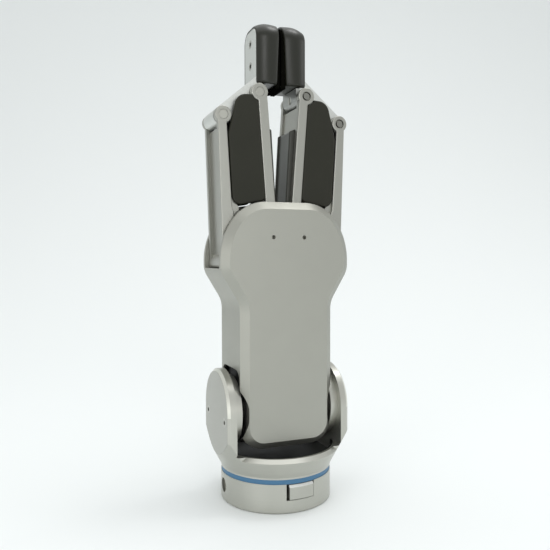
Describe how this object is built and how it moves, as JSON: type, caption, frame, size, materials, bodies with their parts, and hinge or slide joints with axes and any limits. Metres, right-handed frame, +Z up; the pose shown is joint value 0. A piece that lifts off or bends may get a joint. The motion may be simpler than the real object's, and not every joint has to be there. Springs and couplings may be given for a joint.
{
  "type": "two-finger robotic gripper",
  "caption": "Parallel-jaw robot gripper: linkage fingers with rubber tips on an aluminium housing that tilts in a forked bracket over a quick-change mount ring.",
  "frame": {"origin": "centre of the mount ring's bottom face", "axes": "+Z up along the closed gripper, front cover towards -Y, fingers open along X"},
  "size_m": [0.0786, 0.0726, 0.2671],
  "materials": {
    "anodised": "bead-blasted clear anodised",
    "bright_anodised": "fine blasted clear anodised",
    "machined": "fine machined",
    "steel": "ground",
    "blue_ring": "satin",
    "shield_plastic": "satin moulded",
    "tip_rubber": "smooth moulded",
    "pad_rubber": "matt moulded",
    "bronze": "turned",
    "board": "solder mask",
    "contact_plastic": "moulded",
    "gold": "plated",
    "motor_can": "black oxide",
    "liner_rubber": "matt moulded",
    "guard_plastic": "satin moulded"
  },
  "bodies": {
    "base": {"mount_ring": "machined", "side_set_screw": "steel", "seal_ring": "blue_ring", "contact_block": "contact_plastic", "contact_pins": "gold", "tilt_bracket": "machined", "ear_screws": "steel", "left_pivot_hub": "machined", "right_pivot_hub": "machined", "latch_spring": "steel", "dish_liner": "liner_rubber"},
    "latch": {"latch_button": "machined"},
    "housing": {"front_cover": "anodised", "rear_cover": "anodised", "mid_frame": "anodised", "cover_screws": "steel", "pivot_bushes": "bronze", "left_outer_base_pin": "steel", "right_outer_base_pin": "steel", "motor": "motor_can", "gearbox": "machined", "gearbox_plate": "machined", "screw_bearing": "steel", "control_board": "board", "left_side_liner": "liner_rubber", "right_side_liner": "liner_rubber"},
    "screw": {"lead_screw": "steel"},
    "rack": {"drive_rack": "steel"},
    "left_arm": {"left_drive_arm": "bright_anodised", "left_drive_gear": "steel", "left_drive_shaft": "steel", "left_shield": "shield_plastic", "left_inner_guard": "guard_plastic", "left_inner_pin": "steel"},
    "left_link": {"left_outer_link": "bright_anodised", "left_outer_pin": "steel"},
    "left_finger": {"left_finger": "bright_anodised", "left_tip_screws": "steel", "left_fingertip": "tip_rubber", "left_grip_pad": "pad_rubber", "left_lug_screw": "steel"},
    "right_arm": {"right_drive_arm": "bright_anodised", "right_drive_gear": "steel", "right_drive_shaft": "steel", "right_shield": "shield_plastic", "right_inner_guard": "guard_plastic", "right_inner_pin": "steel"},
    "right_link": {"right_outer_link": "bright_anodised", "right_outer_pin": "steel"},
    "right_finger": {"right_finger": "bright_anodised", "right_tip_screws": "steel", "right_fingertip": "tip_rubber", "right_grip_pad": "pad_rubber", "right_lug_screw": "steel"}
  },
  "joints": [
    {"name": "latch_press", "type": "slide", "parent": "base", "child": "latch", "axis": [0, 1, 0], "range_m": [0, 0.0025], "stiffness_N_per_m": 400, "springref_m": -0.003, "deforming": ["latch_spring"]},
    {"name": "housing_tilt", "type": "hinge", "parent": "base", "child": "housing", "pos_m": [0, 0, 0.0519], "axis": [1, 0, 0], "range_deg": [-90, 90]},
    {"name": "right_arm_swing", "type": "hinge", "parent": "housing", "child": "right_arm", "pos_m": [0.00906, 0, 0.14761], "axis": [0, 1, 0], "range_deg": [0, 55]},
    {"name": "left_arm_swing", "type": "hinge", "parent": "housing", "child": "left_arm", "pos_m": [-0.00906, 0, 0.14761], "axis": [0, -1, 0], "range_deg": [0, 55]},
    {"name": "screw_spin", "type": "hinge", "parent": "housing", "child": "screw", "pos_m": [0, 0, 0.12761], "axis": [0, 0, 1], "range_deg": [0, 263]},
    {"name": "rack_lift", "type": "slide", "parent": "housing", "child": "rack", "axis": [0, 0, 1], "range_m": [0, 0.00592]},
    {"name": "left_link_swing", "type": "hinge", "parent": "housing", "child": "left_link", "pos_m": [-0.02974, 0, 0.13386], "axis": [0, -1, 0], "range_deg": [0, 55]},
    {"name": "left_finger_turn", "type": "hinge", "parent": "left_arm", "child": "left_finger", "pos_m": [-0.0139, 0, 0.22676], "axis": [0, -1, 0], "range_deg": [-55, 0]},
    {"name": "right_link_swing", "type": "hinge", "parent": "housing", "child": "right_link", "pos_m": [0.02974, 0, 0.13386], "axis": [0, 1, 0], "range_deg": [0, 55]},
    {"name": "right_finger_turn", "type": "hinge", "parent": "right_arm", "child": "right_finger", "pos_m": [0.0139, 0, 0.22676], "axis": [0, 1, 0], "range_deg": [-55, 0]}
  ],
  "couplings": [
    {"joint": "left_arm_swing", "follows": "right_arm_swing", "ratio": 1},
    {"joint": "rack_lift", "follows": "right_arm_swing", "m_per_rad": 0.00606},
    {"joint": "screw_spin", "follows": "right_arm_swing", "ratio": 4.7595},
    {"joint": "left_link_swing", "follows": "right_arm_swing", "ratio": 1},
    {"joint": "left_finger_turn", "follows": "right_arm_swing", "ratio": -1},
    {"joint": "right_link_swing", "follows": "right_arm_swing", "ratio": 1},
    {"joint": "right_finger_turn", "follows": "right_arm_swing", "ratio": -1}
  ]
}
